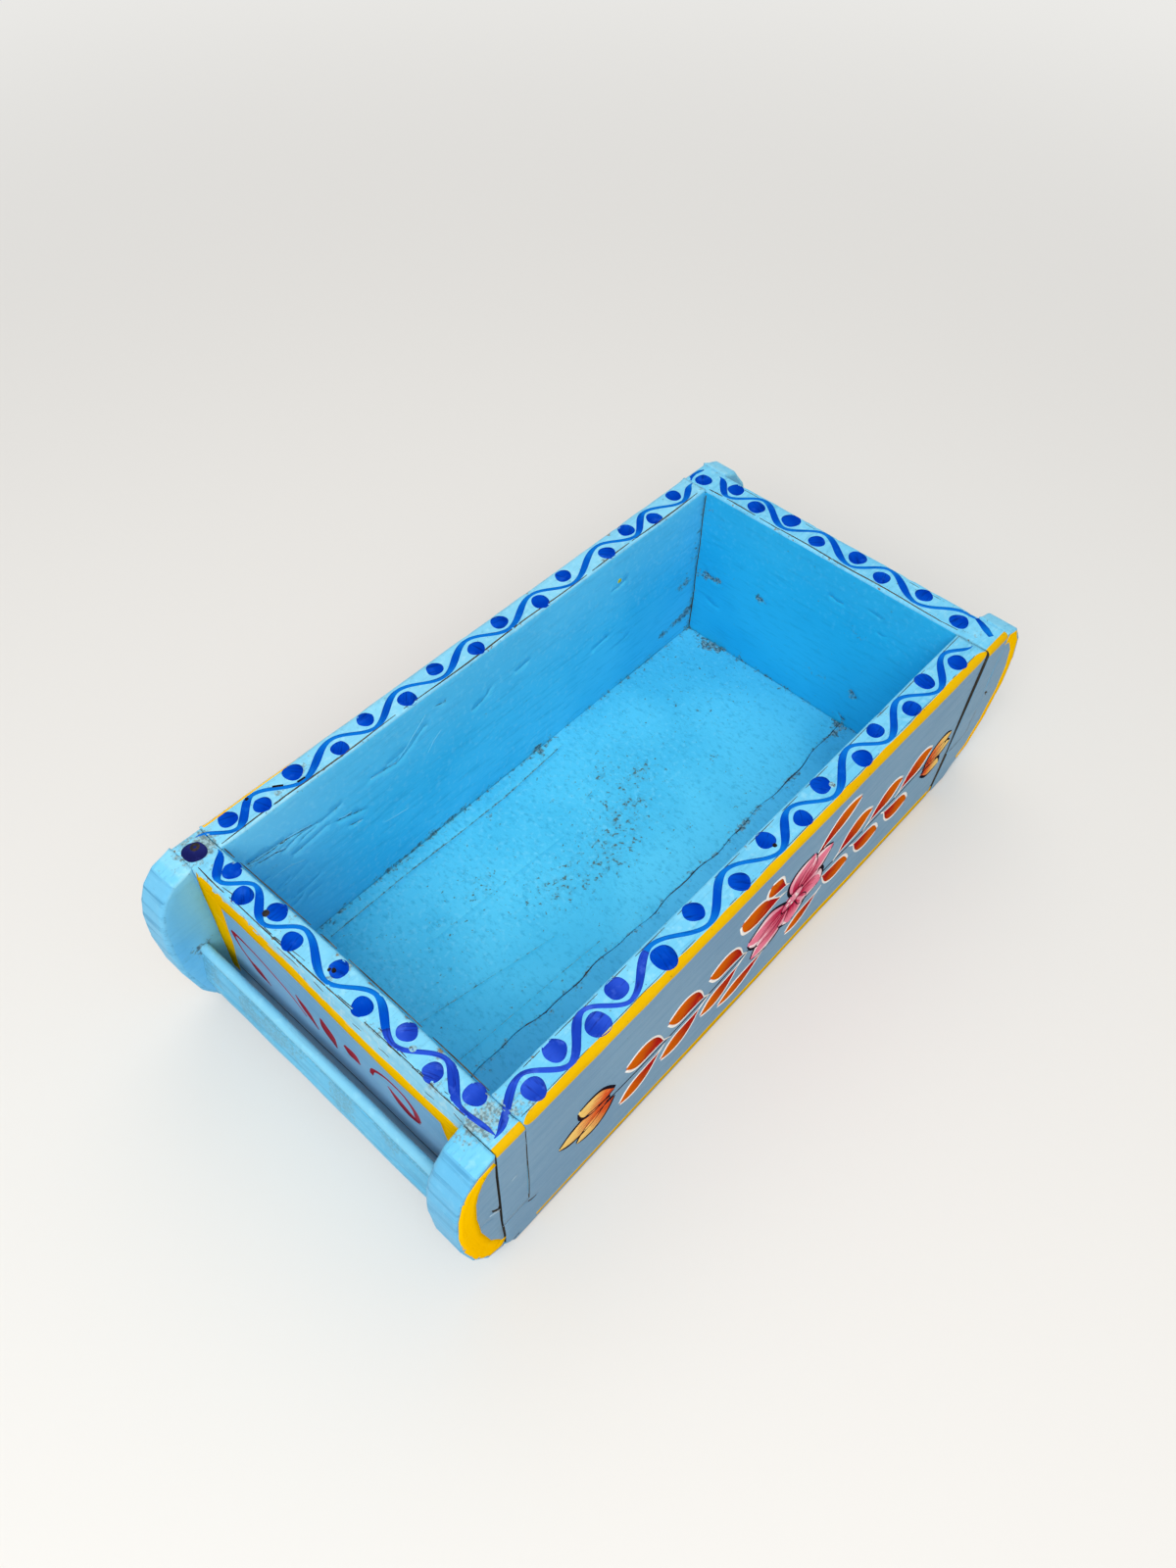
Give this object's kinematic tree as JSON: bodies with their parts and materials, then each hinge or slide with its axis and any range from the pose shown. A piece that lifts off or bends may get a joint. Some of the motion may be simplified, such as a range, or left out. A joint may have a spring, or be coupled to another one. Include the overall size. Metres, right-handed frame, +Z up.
{
  "type": "painted wooden box",
  "caption": "Open wooden box of the brick-mould kind: side boards run on as rounded ears with a handle bar between each pair, end boards halved in, inset floor.",
  "frame": {"origin": "under the middle of the whole box, on the plane that it stands on", "axes": "+X along the length towards the end with the longer ears, +Y towards the thinner side board, +Z up"},
  "size_m": [0.3026, 0.1424, 0.083],
  "materials": {
    "painted_side": "brushed oil paint on wood, dusty blue outside, sky blue inside, worn edges",
    "painted_end": "brushed oil paint on wood, sky blue, worn edges",
    "painted_bar": "brushed oil paint on wood, pale sky blue, rubbed and soiled",
    "painted_floor": "brushed oil paint on wood, bright sky blue, specked with grime",
    "iron_nail": "dark wrought nail, partly painted over"
  },
  "bodies": {
    "root": {"side_board_left": "painted_side", "side_board_right": "painted_side", "end_board_near": "painted_end", "end_board_far": "painted_end", "handle_bar_near": "painted_bar", "handle_bar_far": "painted_bar", "floor_plank": "painted_floor", "floor_strip": "painted_floor", "corner_nail_near_left": "iron_nail", "corner_nail_near_right": "iron_nail", "corner_nail_far_left": "iron_nail", "corner_nail_far_right": "iron_nail", "rim_tack_near_left": "iron_nail", "rim_tack_near_right": "iron_nail", "rim_tack_right": "iron_nail", "floor_nail_left_1": "iron_nail", "floor_nail_left_2": "iron_nail", "floor_nail_left_3": "iron_nail", "floor_nail_right_1": "iron_nail", "floor_nail_right_2": "iron_nail", "floor_nail_right_3": "iron_nail", "floor_nail_near_1": "iron_nail", "floor_nail_near_2": "iron_nail", "floor_nail_far_1": "iron_nail", "floor_nail_far_2": "iron_nail"}
  },
  "joints": []
}
